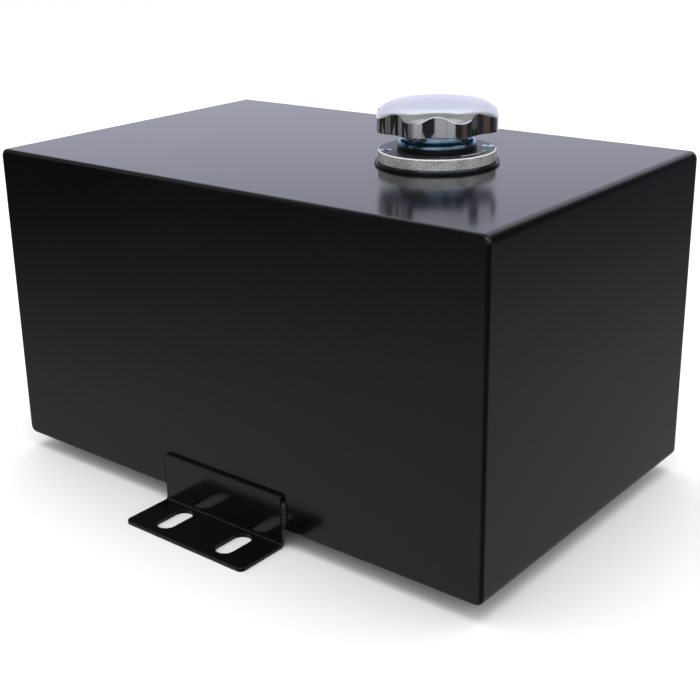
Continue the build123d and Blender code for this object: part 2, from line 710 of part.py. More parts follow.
# pressed housing that holds the air filter between the seal plate and the vent plate
with BuildPart() as filter_housing:
    housing_floor = HOUSING_BOTTOM + HOUSING_WALL
    with BuildSketch(neck_plane(HOUSING_BOTTOM)):
        Circle(HOUSING_FLANGE_RADIUS)
        Circle(STUD_RADIUS + THREAD_GAP, mode=Mode.SUBTRACT)
        with PolarLocations(AIR_CIRCLE, AIR_HOLES):
            Circle(AIR_HOLE, mode=Mode.SUBTRACT)
    extrude(amount=HOUSING_WALL)
    with BuildSketch(neck_plane(housing_floor)):
        ring(HOUSING_RADIUS, HOUSING_RADIUS - HOUSING_WALL)
    extrude(amount=VENT_PLATE_BOTTOM - housing_floor)
save(filter_housing, "filter_housing")

with BuildPart() as air_filter_element:
    with BuildSketch(neck_plane(housing_floor)):
        ring(FILTER_RADIUS, FILTER_INNER)
    extrude(amount=FILTER_HEIGHT)
save(air_filter_element, "air_filter_element")

# disc that closes the cover from below, with outer and inner rings of air holes
with BuildPart() as vent_plate:
    with BuildSketch(neck_plane(VENT_PLATE_BOTTOM)):
        ring(VENT_PLATE_RADIUS, STUD_RADIUS + THREAD_GAP)
        with PolarLocations(VENT_CIRCLE, VENT_HOLES):
            Circle(AIR_HOLE, mode=Mode.SUBTRACT)
        with PolarLocations(AIR_CIRCLE, AIR_HOLES):
            Circle(AIR_HOLE, mode=Mode.SUBTRACT)
    extrude(amount=VENT_PLATE_THICK)
save(vent_plate, "vent_plate")

STUD_TOP = VENT_PLATE_BOTTOM + VENT_PLATE_THICK
WASHER_TOP = LOCK_FLOOR - SPRING_LENGTH
STUD_BOTTOM = WASHER_TOP - SPRING_WASHER

# riveted stud: holds the vent plate, the housing, the lock cup and its spring together
with BuildPart() as centre_stud:
    with BuildSketch(neck_plane(STUD_BOTTOM)):
        Circle(STUD_RADIUS)
    extrude(amount=STUD_TOP - STUD_BOTTOM)
    with BuildSketch(neck_plane(STUD_TOP), neck_plane(STUD_BOTTOM - STUD_HEAD)):
        Circle(STUD_HEAD_RADIUS)
    extrude(amount=STUD_HEAD)
    heads = centre_stud.edges().filter_by(GeomType.CIRCLE).sort_by(Axis.Z)
    fillet([heads[0], heads[-1]], STUD_HEAD / 2)
save(centre_stud, "centre_stud")

with BuildPart() as spring_washer:
    with BuildSketch(neck_plane(STUD_BOTTOM)):
        ring(SPRING_WASHER_RADIUS, STUD_RADIUS + THREAD_GAP)
    extrude(amount=SPRING_WASHER)
save(spring_washer, "spring_washer")

# coil spring that pulls the lock cup up against the flange ramps
with BuildPart() as lock_spring:
    spring_start = WASHER_TOP + SPRING_WIRE
    spring_rise = SPRING_LENGTH - 2 * SPRING_WIRE
    with BuildLine(neck_plane(spring_start)):
        Helix(spring_rise / SPRING_TURNS, spring_rise, SPRING_RADIUS)
    wire_start = (NECK_X + SPRING_RADIUS, NECK_Y, FLANGE_TOP + spring_start)
    with BuildSketch(Plane(wire_start, x_dir=(1, 0, 0), z_dir=(0, 1, 0))):
        Circle(SPRING_WIRE)
    sweep(is_frenet=True)
save(lock_spring, "lock_spring")

# cup with two ears that pass the notches of the flange and turn under its lip
with BuildPart() as lock_cup:
    with BuildSketch(neck_plane(LOCK_FLOOR)):
        Circle(LOCK_RADIUS)
    extrude(amount=LOCK_TOP - LOCK_FLOOR)
    with BuildSketch(neck_plane(LOCK_FLOOR + LOCK_FLOOR_THICK)):
        Circle(LOCK_RADIUS - LOCK_WALL)
    extrude(amount=LOCK_TOP - LOCK_FLOOR, mode=Mode.SUBTRACT)
    with BuildSketch(neck_plane(LOCK_FLOOR)):
        Circle(STUD_RADIUS + SLIDE_GAP)
        with PolarLocations(AIR_CIRCLE, AIR_HOLES):
            Circle(AIR_HOLE)
    extrude(amount=LOCK_FLOOR_THICK, mode=Mode.SUBTRACT)
    with BuildSketch(neck_plane(EAR_TOP)):
        for side in (0, 180):
            ear_start = side - EAR_HALF_ANGLE
            sector(LOCK_RADIUS - OVERLAP, EAR_RADIUS, ear_start, side + EAR_HALF_ANGLE)
    extrude(amount=-EAR_THICK)
save(lock_cup, "lock_cup")


def dome_section(inset):
    """Half section of the cover's dome, drawn in by a wall thickness, in the current sketch.

    A shallow crown arc runs into a tighter shoulder arc, which passes through the skirt's
    top edge and ends a little outside it. Local x is radial and local y is the height
    above the rim.
    """
    crown_low = COVER_HEIGHT - CROWN_RADIUS
    reach = CROWN_RADIUS - SHOULDER_RADIUS
    to_edge = sqrt(COVER_RADIUS**2 + (SKIRT_HEIGHT - crown_low) ** 2)
    spread = acos((reach**2 + to_edge**2 - SHOULDER_RADIUS**2) / (2 * reach * to_edge))
    lean = acos(COVER_RADIUS / to_edge) + spread
    shoulder_x = reach * cos(lean)
    shoulder_y = crown_low + reach * sin(lean)
    crown = CROWN_RADIUS - inset
    shoulder = SHOULDER_RADIUS - inset
    overhang = COVER_RADIUS - inset + DOME_OVERHANG
    edge_angle = acos((overhang - shoulder_x) / shoulder)

    def on_crown(angle):
        return (crown * cos(angle), crown_low + crown * sin(angle))

    def on_shoulder(angle):
        return (shoulder_x + shoulder * cos(angle), shoulder_y + shoulder * sin(angle))

    with BuildLine() as outline:
        ThreePointArc(on_crown(radians(90)), on_crown((lean + radians(90)) / 2), on_crown(lean))
        ThreePointArc(on_crown(lean), on_shoulder((lean + edge_angle) / 2), on_shoulder(edge_angle))
        Line(on_shoulder(edge_angle), (overhang, 0))
        Line((overhang, 0), (0, 0))
        Line((0, 0), on_crown(radians(90)))
    make_face(outline.edges())


def fluted_outline(sketch, inset):
    """Round outline with shallow flutes, drawn in by a wall thickness, in the current sketch."""
    Circle(COVER_RADIUS - inset)
    with PolarLocations(FLUTE_BOTTOM_RADIUS + FLUTE_CUT_RADIUS, FLUTES, start_angle=FLUTE_PHASE):
        Circle(FLUTE_CUT_RADIUS + inset, mode=Mode.SUBTRACT)
    fillet(sketch.vertices(), FLUTE_ROUNDING - inset)


# the dome is turned from a section through the middle of a lobe, between two flutes
LOBE_ANGLE = FLUTE_PHASE + 180 / FLUTES

# hollow inside of the cover
with BuildPart() as cover_hollow:
    with BuildSketch(neck_section(COVER_RIM, LOBE_ANGLE)):
        dome_section(COVER_WALL)
    revolve(axis=NECK_AXIS)
    with BuildSketch(neck_plane(COVER_RIM)) as hollow_outline:
        fluted_outline(hollow_outline, COVER_WALL)
    extrude(amount=COVER_HEIGHT + DOME_OVERHANG, mode=Mode.INTERSECT)

# chrome cover: a dome over a skirt with flutes for the fingers
with BuildPart() as cap_cover:
    with BuildSketch(neck_section(COVER_RIM, LOBE_ANGLE)):
        dome_section(0)
    revolve(axis=NECK_AXIS)
    with BuildSketch(neck_plane(COVER_RIM)) as cover_outline:
        fluted_outline(cover_outline, 0)
    extrude(amount=COVER_HEIGHT + DOME_OVERHANG, mode=Mode.INTERSECT)
    skirt_top = COVER_BOTTOM + SKIRT_HEIGHT
    top_edges = cap_cover.edges().filter_by_position(Axis.Z, skirt_top - OVERLAP, skirt_top + ARCH_RISE)
    fillet(top_edges, COVER_EDGE)
    add(cover_hollow.part, mode=Mode.SUBTRACT)
save(cap_cover, "cap_cover")
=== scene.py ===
"""Looks of a black steel hydraulic reservoir with a chrome filler and breather cap.

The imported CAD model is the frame. This script gives every CAD node its finish, replaces the
chrome cover, screws, lock spring, ports and welds by detailed pieces, adds a turn arrow, and
sets up the camera, the floor and the studio light. Places are in the frame of the CAD model,
in metres. Sizes that are given in millimetres are multiplied by MM where they are used.
"""

import json
import math

import bmesh
import bpy
from mathutils import Matrix, Vector


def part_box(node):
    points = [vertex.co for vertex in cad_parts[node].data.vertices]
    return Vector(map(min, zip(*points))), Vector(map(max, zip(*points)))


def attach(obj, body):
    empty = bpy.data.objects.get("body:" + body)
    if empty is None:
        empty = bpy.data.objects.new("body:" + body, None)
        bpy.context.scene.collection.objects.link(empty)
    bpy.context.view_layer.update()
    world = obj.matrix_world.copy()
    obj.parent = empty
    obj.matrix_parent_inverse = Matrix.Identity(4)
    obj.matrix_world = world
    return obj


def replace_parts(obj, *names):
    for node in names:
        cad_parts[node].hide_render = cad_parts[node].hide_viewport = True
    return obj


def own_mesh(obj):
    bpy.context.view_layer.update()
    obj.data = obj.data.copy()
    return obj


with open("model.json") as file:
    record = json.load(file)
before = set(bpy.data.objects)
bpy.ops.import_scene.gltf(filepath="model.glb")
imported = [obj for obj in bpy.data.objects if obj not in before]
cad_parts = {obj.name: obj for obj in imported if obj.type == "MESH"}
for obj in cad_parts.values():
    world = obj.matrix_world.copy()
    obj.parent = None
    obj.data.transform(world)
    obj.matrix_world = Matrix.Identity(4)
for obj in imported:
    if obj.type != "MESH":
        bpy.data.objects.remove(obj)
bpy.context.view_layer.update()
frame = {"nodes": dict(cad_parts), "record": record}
NODES = frame["nodes"]

MM = 0.001
UP = Vector((0, 0, 1))

# ---------------------------------------------------------------------------
# Places that the pieces share
# ---------------------------------------------------------------------------

shell_low, shell_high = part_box("shell_wrapper")
TANK_CENTRE = (shell_low + shell_high) / 2
flange_low, flange_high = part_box("filler_flange")
NECK = Vector(((flange_low.x + flange_high.x) / 2, (flange_low.y + flange_high.y) / 2, flange_high.z))


# ---------------------------------------------------------------------------
# Camera
# ---------------------------------------------------------------------------

CAMERA_AZIMUTH = math.radians(40.43)
CAMERA_ELEVATION = math.radians(19.21)
CAMERA_ROLL = math.radians(-1.5)
CAMERA_LENS = 63.75
CAMERA_SHIFT = (0.0502, -0.0444)
CAMERA_DISTANCE = 0.9657
CAMERA_AIM = TANK_CENTRE + Vector((-11.6, -15.4, -12.0)) * MM


def make_camera():
    """Perspective camera that looks down on the front right corner of the tank."""
    level = math.cos(CAMERA_ELEVATION)
    back = Vector(
        (
            math.sin(CAMERA_AZIMUTH) * level,
            -math.cos(CAMERA_AZIMUTH) * level,
            math.sin(CAMERA_ELEVATION),
        )
    )
    right = Vector((0, 0, 1)).cross(back).normalized()
    up = back.cross(right)
    turn = Matrix.Rotation(CAMERA_ROLL, 3, back)
    axes = Matrix((turn @ right, turn @ up, back)).transposed()
    data = bpy.data.cameras.new("camera")
    data.lens = CAMERA_LENS
    data.sensor_width = 36
    data.shift_x, data.shift_y = CAMERA_SHIFT
    data.clip_start = 0.01
    camera = bpy.data.objects.new("camera", data)
    camera.matrix_world = Matrix.Translation(CAMERA_AIM + back * CAMERA_DISTANCE) @ axes.to_4x4()
    bpy.context.scene.collection.objects.link(camera)
    bpy.context.scene.camera = camera


make_camera()


# ---------------------------------------------------------------------------
# Shader graphs
# ---------------------------------------------------------------------------


class Graph:
    """Short names for the shader nodes that the materials use."""

    def __init__(self, tree):
        self.tree = tree

    def node(self, kind, **settings):
        made = self.tree.nodes.new(kind)
        for name, value in settings.items():
            setattr(made, name, value)
        return made

    def put(self, socket, value):
        """Connects an output to an input, or sets the input's own value."""
        if isinstance(value, bpy.types.NodeSocket):
            self.tree.links.new(value, socket)
        else:
            socket.default_value = value

    def place(self):
        """Position in the object's own space, which is the frame of the CAD model at rest."""
        return self.node("ShaderNodeTexCoord").outputs["Object"]

    def normal(self):
        return self.node("ShaderNodeNewGeometry").outputs["Normal"]

    def math(self, operation, a, b=0.0, c=0.0):
        made = self.node("ShaderNodeMath", operation=operation)
        for socket, value in zip(made.inputs, (a, b, c)):
            self.put(socket, value)
        return made.outputs[0]

    def vector_math(self, operation, a, b=(0, 0, 0)):
        made = self.node("ShaderNodeVectorMath", operation=operation)
        self.put(made.inputs[0], a)
        self.put(made.inputs[1], b)
        return made.outputs["Value" if operation in ("LENGTH", "DOT_PRODUCT") else "Vector"]

    def split(self, vector):
        made = self.node("ShaderNodeSeparateXYZ")
        self.put(made.inputs[0], vector)
        return made.outputs

    def join(self, x, y, z):
        made = self.node("ShaderNodeCombineXYZ")
        for socket, value in zip(made.inputs, (x, y, z)):
            self.put(socket, value)
        return made.outputs[0]

    def noise(self, vector, scale, detail=2.0, rough=0.5, distortion=0.0):
        made = self.node("ShaderNodeTexNoise")
        self.put(made.inputs["Vector"], vector)
        self.put(made.inputs["Scale"], scale)
        self.put(made.inputs["Detail"], detail)
        self.put(made.inputs["Roughness"], rough)
        self.put(made.inputs["Distortion"], distortion)
        return made.outputs["Fac"]

    def cells(self, vector, scale, feature="F1"):
        made = self.node("ShaderNodeTexVoronoi", feature=feature)
        self.put(made.inputs["Vector"], vector)
        self.put(made.inputs["Scale"], scale)
        return made.outputs["Distance"]

    def span(self, value, low, high, to_low=0.0, to_high=1.0):
        """Smooth step from one range of numbers to another."""
        made = self.node("ShaderNodeMapRange", interpolation_type="SMOOTHSTEP")
        for socket, number in zip(made.inputs[:5], (value, low, high, to_low, to_high)):
            self.put(socket, number)
        return made.outputs[0]

    def ramp(self, value, stops):
        made = self.node("ShaderNodeValToRGB")
        self.put(made.inputs[0], value)
        elements = made.color_ramp.elements
        while len(elements) < len(stops):
            elements.new(0.5)
        for element, (position, colour) in zip(elements, stops):
            element.position = position
            element.color = (*colour, 1)
        return made.outputs[0]

    def blend(self, factor, a, b):
        made = self.node("ShaderNodeMix", data_type="RGBA")
        self.put(made.inputs[0], factor)
        for socket, value in ((made.inputs[6], a), (made.inputs[7], b)):
            self.put(socket, (*value, 1) if isinstance(value, tuple) else value)
        return made.outputs[2]

    def add_colour(self, factor, a, b):
        """Adds the colour b, times a factor, to the colour a."""
        made = self.node("ShaderNodeMix", data_type="RGBA", blend_type="ADD")
        self.put(made.inputs[0], factor)
        self.put(made.inputs[6], a)
        self.put(made.inputs[7], (*b, 1))
        return made.outputs[2]

    def bump(self, height, distance, strength=1.0, normal=None):
        made = self.node("ShaderNodeBump")
        self.put(made.inputs["Height"], height)
        self.put(made.inputs["Distance"], distance)
        self.put(made.inputs["Strength"], strength)
        if normal is not None:
            self.put(made.inputs["Normal"], normal)
        return made.outputs[0]

    def round_edges(self, radius):
        """Normals that soften the edges, as paint and plating do."""
        made = self.node("ShaderNodeBevel", samples=4)
        self.put(made.inputs["Radius"], radius)
        return made.outputs[0]


def new_material(name, **sockets):
    """A material with a Principled shader; sockets are that shader's own fixed values."""
    material = bpy.data.materials.new(name)
    material.use_nodes = True
    tree = material.node_tree
    shader = tree.nodes["Principled BSDF"]
    for socket, value in sockets.items():
        shader.inputs[socket.replace("_", " ")].default_value = value
    return material, Graph(tree), shader.inputs


def distance_from_neck(g, place):
    """Distance from the filler axis, for turned surfaces."""
    x, y, _ = g.split(g.vector_math("SUBTRACT", place, tuple(NECK)))
    return g.math("SQRT", g.math("ADD", g.math("MULTIPLY", x, x), g.math("MULTIPLY", y, y)))


# ---------------------------------------------------------------------------
# Finishes
# ---------------------------------------------------------------------------


def black_coat():
    """Satin black powder coat: faint orange peel and slightly uneven gloss."""
    material, g, shader = new_material("black_coat", IOR=1.5)
    place = g.place()
    cloud = g.noise(place, 9, 3)
    g.put(shader["Base Color"], g.blend(cloud, (0.0012, 0.0012, 0.0014), (0.0026, 0.0026, 0.003)))
    film = g.noise(place, 60, 3)
    gloss = g.math("ADD", g.span(cloud, 0.3, 0.7, 0.12, 0.145), g.math("MULTIPLY", film, 0.03))
    g.put(shader["Roughness"], gloss)
    peel = g.noise(place, 700, 2)
    fine = g.noise(place, 2600, 2)
    height = g.math("ADD", peel, g.math("MULTIPLY", fine, 0.25))
    g.put(shader["Normal"], g.bump(height, 0.004 * MM, 1.0, g.round_edges(0.5 * MM)))
    return material


def bare_steel():
    """Mill steel: rolling marks along X and a cloudy oxide film."""
    material, g, shader = new_material("bare_steel", Metallic=1.0)
    place = g.place()
    x, y, z = g.split(place)
    streaks = g.noise(g.join(g.math("MULTIPLY", x, 0.06), y, z), 1400, 3)
    cloud = g.noise(place, 30, 4)
    tone = g.math("ADD", g.math("MULTIPLY", streaks, 0.4), g.math("MULTIPLY", cloud, 0.6))
    g.put(shader["Base Color"], g.ramp(tone, ((0.3, (0.24, 0.24, 0.25)), (0.7, (0.5, 0.5, 0.51)))))
    g.put(shader["Roughness"], g.span(tone, 0.3, 0.7, 0.5, 0.3))
    g.put(shader["Normal"], g.bump(streaks, 0.01 * MM, 0.6, g.round_edges(0.2 * MM)))
    return material


def die_cast():
    """Cast aluminium: grainy as-cast sides, a bright edge that is partly machined and partly a painted
    highlight, and a finely turned top.
    """
    material, g, shader = new_material("die_cast", Specular_Tint=(0.4, 0.4, 0.42, 1.0))
    place = g.place()
    grain = g.noise(place, 1900, 4, 0.65)
    pits = g.cells(place, 1500)
    cloud = g.noise(place, 90, 3)
    cast = g.ramp(
        g.math("ADD", g.math("MULTIPLY", grain, 0.8), g.math("MULTIPLY", cloud, 0.2)),
        ((0.4, (0.24, 0.24, 0.24)), (0.5, (0.68, 0.67, 0.66)), (0.6, (1.0, 0.99, 0.97))),
    )
    rings = g.noise(g.join(distance_from_neck(g, place), 0.0, 0.0), 9000, 2)
    turned = g.ramp(rings, ((0.3, (0.24, 0.25, 0.27)), (0.7, (0.36, 0.37, 0.39))))
    upward = g.split(g.normal())[2]
    top = g.span(upward, 0.93, 0.99)
    # bright chamfers facing up towards the light: partly the machined edge, partly a painted highlight,
    # whiter and less metallic than the cast
    edge = g.math("MULTIPLY", g.span(upward, 0.25, 0.6), g.math("SUBTRACT", 1.0, top))
    colour = g.blend(edge, g.blend(top, cast, turned), (0.93, 0.93, 0.92))
    g.put(shader["Base Color"], colour)
    metal = g.span(top, 0.0, 1.0, 0.58, 0.86)
    g.put(shader["Metallic"], g.math("SUBTRACT", metal, g.math("MULTIPLY", edge, 0.45)))
    rough_cast = g.span(grain, 0.3, 0.7, 0.5, 0.38)
    rough_turned = g.span(rings, 0.3, 0.7, 0.26, 0.36)
    top_part = g.math("MULTIPLY", rough_turned, top)
    side = g.math("SUBTRACT", 1.0, top)
    g.put(shader["Roughness"], g.math("ADD", top_part, g.math("MULTIPLY", rough_cast, side)))
    cast_height = g.math("MULTIPLY", g.math("ADD", grain, pits), side)
    height = g.math("ADD", cast_height, g.math("MULTIPLY", g.math("MULTIPLY", rings, top), 0.06))
    g.put(shader["Normal"], g.bump(height, 0.12 * MM, 0.6, g.round_edges(0.25 * MM)))
    return material


def zinc_plate():
    """Bright zinc with a blue passivate that shifts a little over the surface, and a painted dark
    reflection on pressed shoulders.
    """
    material, g, shader = new_material("zinc_plate", Metallic=1.0)
    place = g.place()
    film = g.noise(place, 70, 3, 0.6, 0.4)
    colour = g.ramp(
        film,
        ((0.3, (0.34, 0.55, 0.74)), (0.5, (0.5, 0.69, 0.83)), (0.72, (0.7, 0.8, 0.87))),
    )
    # painted dark blue reflection on pressed shoulders, between upright and level faces
    upward = g.split(g.normal())[2]
    level = g.math("SUBTRACT", 1.0, g.span(upward, 0.93, 0.995))
    shoulder = g.math("MULTIPLY", g.span(upward, 0.03, 0.2), level)
    painted_reflection_blue = g.ramp(film, ((0.3, (0.1, 0.24, 0.36)), (0.7, (0.2, 0.36, 0.46))))
    g.put(shader["Base Color"], g.blend(shoulder, colour, painted_reflection_blue))
    fine = g.noise(place, 1800, 2)
    g.put(shader["Roughness"], g.span(fine, 0.3, 0.7, 0.12, 0.2))
    g.put(shader["Normal"], g.bump(fine, 0.004 * MM, 0.6, g.round_edges(0.15 * MM)))
    return material


def chrome():
    """Polished chrome with the faint waviness of hand polishing."""
    material, g, shader = new_material("chrome", Metallic=1.0)
    place = g.place()
    haze = g.noise(place, 220, 3)
    g.put(shader["Base Color"], g.blend(haze, (0.68, 0.69, 0.7), (0.73, 0.74, 0.75)))
    g.put(shader["Roughness"], g.span(haze, 0.3, 0.75, 0.035, 0.07))
    wave = g.noise(place, 120, 1)
    g.put(shader["Normal"], g.bump(wave, 0.02 * MM, 0.5))
    return material


def black_rubber():
    """Moulded nitrile rubber with a dull, finely pitted skin."""
    material, g, shader = new_material("black_rubber", IOR=1.5, Specular_IOR_Level=0.22)
    place = g.place()
    bloom = g.noise(place, 140, 4)
    g.put(shader["Base Color"], g.blend(bloom, (0.003, 0.003, 0.003), (0.009, 0.009, 0.01)))
    g.put(shader["Roughness"], g.span(bloom, 0.3, 0.7, 0.3, 0.46))
    skin = g.noise(place, 2400, 3)
    g.put(shader["Normal"], g.bump(skin, 0.02 * MM, 0.6, g.round_edges(0.3 * MM)))
    return material


def filter_foam():
    """Open-cell foam: pale struts, with painted shade darkening the open cells between them."""
    material, g, shader = new_material("filter_foam", Roughness=0.9)
    place = g.place()
    cell = g.cells(place, 900, "DISTANCE_TO_EDGE")
    dust = g.noise(place, 120, 3)
    # pale struts, and painted shade that darkens the middle of each open cell
    strut_and_cell_shade = g.ramp(cell, ((0.0, (0.75, 0.66, 0.42)), (0.25, (0.3, 0.25, 0.14))))
    g.put(shader["Base Color"], g.blend(g.span(dust, 0.5, 0.9), strut_and_cell_shade, (0.28, 0.25, 0.19)))
    g.put(shader["Roughness"], g.span(dust, 0.3, 0.7, 0.85, 0.98))
    g.put(shader["Normal"], g.bump(cell, 0.4 * MM, 0.8))
    return material


def spring_steel():
    """Drawn wire with a dark tempered film."""
    material, g, shader = new_material("spring_steel", Metallic=1.0)
    place = g.place()
    film = g.noise(place, 400, 3)
    g.put(shader["Base Color"], g.ramp(film, ((0.3, (0.2, 0.2, 0.22)), (0.7, (0.42, 0.4, 0.39)))))
    g.put(shader["Roughness"], g.span(film, 0.3, 0.7, 0.25, 0.4))
    g.put(shader["Normal"], g.bump(g.noise(place, 3000, 2), 0.01 * MM, 0.5))
    return material


def copper_washer():
    """Soft copper, dulled in patches."""
    material, g, shader = new_material("brass_washer", Metallic=1.0)
    place = g.place()
    tarnish = g.noise(place, 260, 4)
    g.put(shader["Base Color"], g.ramp(tarnish, ((0.3, (0.4, 0.2, 0.12)), (0.7, (0.78, 0.43, 0.28)))))
    g.put(shader["Roughness"], g.span(tarnish, 0.3, 0.7, 0.5, 0.28))
    g.put(shader["Normal"], g.bump(g.noise(place, 2000, 3), 0.02 * MM, 0.5, g.round_edges(0.2 * MM)))
    return material


FINISHES = {
    "black_coat": black_coat(),
    "bare_steel": bare_steel(),
    "die_cast": die_cast(),
    "zinc_plate": zinc_plate(),
    "chrome": chrome(),
    "black_rubber": black_rubber(),
    "filter_foam": filter_foam(),
    "spring_steel": spring_steel(),
    "brass_washer": copper_washer(),
}

# every CAD node takes the finish that its own material slot names
for part in frame["record"]["subparts"]:
    NODES[part["node"]].data.materials.clear()
    NODES[part["node"]].data.materials.append(FINISHES[part["material_slot"]])


# ---------------------------------------------------------------------------
# Detailed pieces
# ---------------------------------------------------------------------------


def make_piece(name, points, faces, slot, body="tank"):
    """A closed smooth mesh with a finish, which rides on a body."""
    mesh = bpy.data.meshes.new(name)
    mesh.from_pydata([tuple(p) for p in points], [], faces)
    shape = bmesh.new()
    shape.from_mesh(mesh)
    bmesh.ops.recalc_face_normals(shape, faces=shape.faces)
    shape.to_mesh(mesh)
    shape.free()
    mesh.polygons.foreach_set("use_smooth", [True] * len(mesh.polygons))
    mesh.materials.append(FINISHES[slot])
    piece = bpy.data.objects.new(name, mesh)
    bpy.context.scene.collection.objects.link(piece)
    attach(piece, body)
    return piece


class Surface:
    """Collects the points and faces of closed shapes that are made of rows of points."""

    def __init__(self):
        self.points = []
        self.faces = []

    def rows(self, rows, closed_rows=False, closed_row=True):
        """Quads between rows of points. A row of one point closes the shape like a pole."""
        starts = []
        for row in rows:
            starts.append((len(self.points), len(row)))
            self.points.extend(row)
        following = starts[1:] + (starts[:1] if closed_rows else [])
        for (a, count_a), (b, count_b) in zip(starts, following):
            count = max(count_a, count_b)
            for i in range(count if closed_row else count - 1):
                j = (i + 1) % count
                face = [a + i % count_a, a + j % count_a, b + j % count_b, b + i % count_b]
                self.faces.append(list(dict.fromkeys(face)))

    def caps(self, row_count, count):
        """Closes both ends of the last rows, each row one section of a bar."""
        first = len(self.points) - row_count * count
        self.faces.append(list(range(first, first + count)))
        self.faces.append(list(range(len(self.points) - count, len(self.points))))


def steps(low, high, count):
    """Evenly spaced numbers, both ends included."""
    return [low + (high - low) * i / (count - 1) for i in range(count)]


def outward(angle):
    """Level direction at an angle from +X."""
    return Vector((math.cos(angle), math.sin(angle), 0))


# chrome cover: the CAD shape with a dense mesh, so that it mirrors without facets, lengths in mm

COVER_RADIUS = 44.3
COVER_HEIGHT = 21.4
COVER_WALL = 1.6
SKIRT_HEIGHT = 9.7
CROWN_RADIUS = 177.0
SHOULDER_RADIUS = 20.4
COVER_EDGE = 0.9
RIM_EDGE = 0.4
FLUTES = 8
FLUTE_BOTTOM_RADIUS = 40.2
FLUTE_CUT_RADIUS = 19.0
FLUTE_ROUNDING = 14.5
FLUTE_PHASE = math.radians(-10.5)
COVER_COLUMNS = 44 * FLUTES
CREASE = 0.2  # gap to the rows that keep the upright walls straight beside their edges
INNER_CREASE = 0.3


def arc(centre, radius, turns):
    """Points of an arc in a section, as radius and height."""
    x, y = centre
    return [(x + radius * math.cos(turn), y + radius * math.sin(turn)) for turn in turns]


def cover_outline(angle, inset):
    """Radius of the fluted outline at an angle about the axis, drawn in by an inset."""
    pitch = math.tau / FLUTES
    away = abs((angle - FLUTE_PHASE + pitch / 2) % pitch - pitch / 2)
    cut_out = FLUTE_BOTTOM_RADIUS + FLUTE_CUT_RADIUS
    round_out = COVER_RADIUS - FLUTE_ROUNDING
    between = FLUTE_CUT_RADIUS + FLUTE_ROUNDING
    round_angle = math.acos((cut_out**2 + round_out**2 - between**2) / (2 * cut_out * round_out))
    if away >= round_angle:
        return COVER_RADIUS - inset
    cut = FLUTE_CUT_RADIUS + inset
    share = cut / between
    touch_x = cut_out + share * (round_out * math.cos(round_angle) - cut_out)
    touch_y = share * round_out * math.sin(round_angle)
    if away > math.atan2(touch_y, touch_x):
        turn = round_angle - away
        rounding = FLUTE_ROUNDING - inset
        return round_out * math.cos(turn) + math.sqrt(rounding**2 - (round_out * math.sin(turn)) ** 2)
    return cut_out * math.cos(away) - math.sqrt(cut**2 - (cut_out * math.sin(away)) ** 2)


def cover_section(angle):
    """Section of the cover at an angle: radius and height above the rim, from the top round
    the rim to the inside of the crown."""
    crown_low = COVER_HEIGHT - CROWN_RADIUS
    reach = CROWN_RADIUS - SHOULDER_RADIUS
    to_edge = math.hypot(COVER_RADIUS, SKIRT_HEIGHT - crown_low)
    spread = math.acos((reach**2 + to_edge**2 - SHOULDER_RADIUS**2) / (2 * reach * to_edge))
    lean = math.acos(COVER_RADIUS / to_edge) + spread
    crown = (0, crown_low)
    shoulder = (reach * math.cos(lean), crown_low + reach * math.sin(lean))
    outside = cover_outline(angle, 0)
    inside = cover_outline(angle, COVER_WALL)
    edge_turn = math.acos((outside - COVER_EDGE - shoulder[0]) / (SHOULDER_RADIUS - COVER_EDGE))
    edge = arc(shoulder, SHOULDER_RADIUS - COVER_EDGE, [edge_turn])[0]
    inner_turn = math.acos((inside - shoulder[0]) / (SHOULDER_RADIUS - COVER_WALL))
    inner_shoulder = arc(shoulder, SHOULDER_RADIUS - COVER_WALL, steps(inner_turn, lean, 9))
    rim = (outside - RIM_EDGE, RIM_EDGE)
    section = arc(crown, CROWN_RADIUS, steps(math.pi / 2, lean, 9)[1:])
    section += arc(shoulder, SHOULDER_RADIUS, steps(lean, edge_turn, 16)[1:])
    section += arc(edge, COVER_EDGE, steps(edge_turn, 0, 7)[1:])
    for height in (edge[1] - CREASE, (edge[1] + RIM_EDGE) / 2, RIM_EDGE + CREASE):
        section.append((outside, height))
    section += arc(rim, RIM_EDGE, steps(0, -math.pi / 2, 5))
    for height in (0, INNER_CREASE, inner_shoulder[0][1] - INNER_CREASE):
        section.append((inside, height))
    section += inner_shoulder
    section += arc(crown, CROWN_RADIUS - COVER_WALL, steps(lean, math.pi / 2, 7)[1:-1])
    return section


def make_cover():
    """Chrome cover with its fluted skirt."""
    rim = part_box("cap_cover")[0].z
    axis = Vector((NECK.x, NECK.y, rim))
    columns = []
    for i in range(COVER_COLUMNS):
        angle = math.tau * i / COVER_COLUMNS
        section = cover_section(angle)
        columns.append([axis + (outward(angle) * radius + UP * height) * MM for radius, height in section])
    rows = [list(row) for row in zip(*columns)]
    top = axis + UP * COVER_HEIGHT * MM
    under = axis + UP * (COVER_HEIGHT - COVER_WALL) * MM
    surface = Surface()
    surface.rows([[top], *rows, [under]])
    return make_piece("chrome_cover", surface.points, surface.faces, "chrome", "cap")


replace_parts(make_cover(), "cap_cover")


# flange screws: oval countersunk heads with a cross recess over a rolled thread, lengths in mm

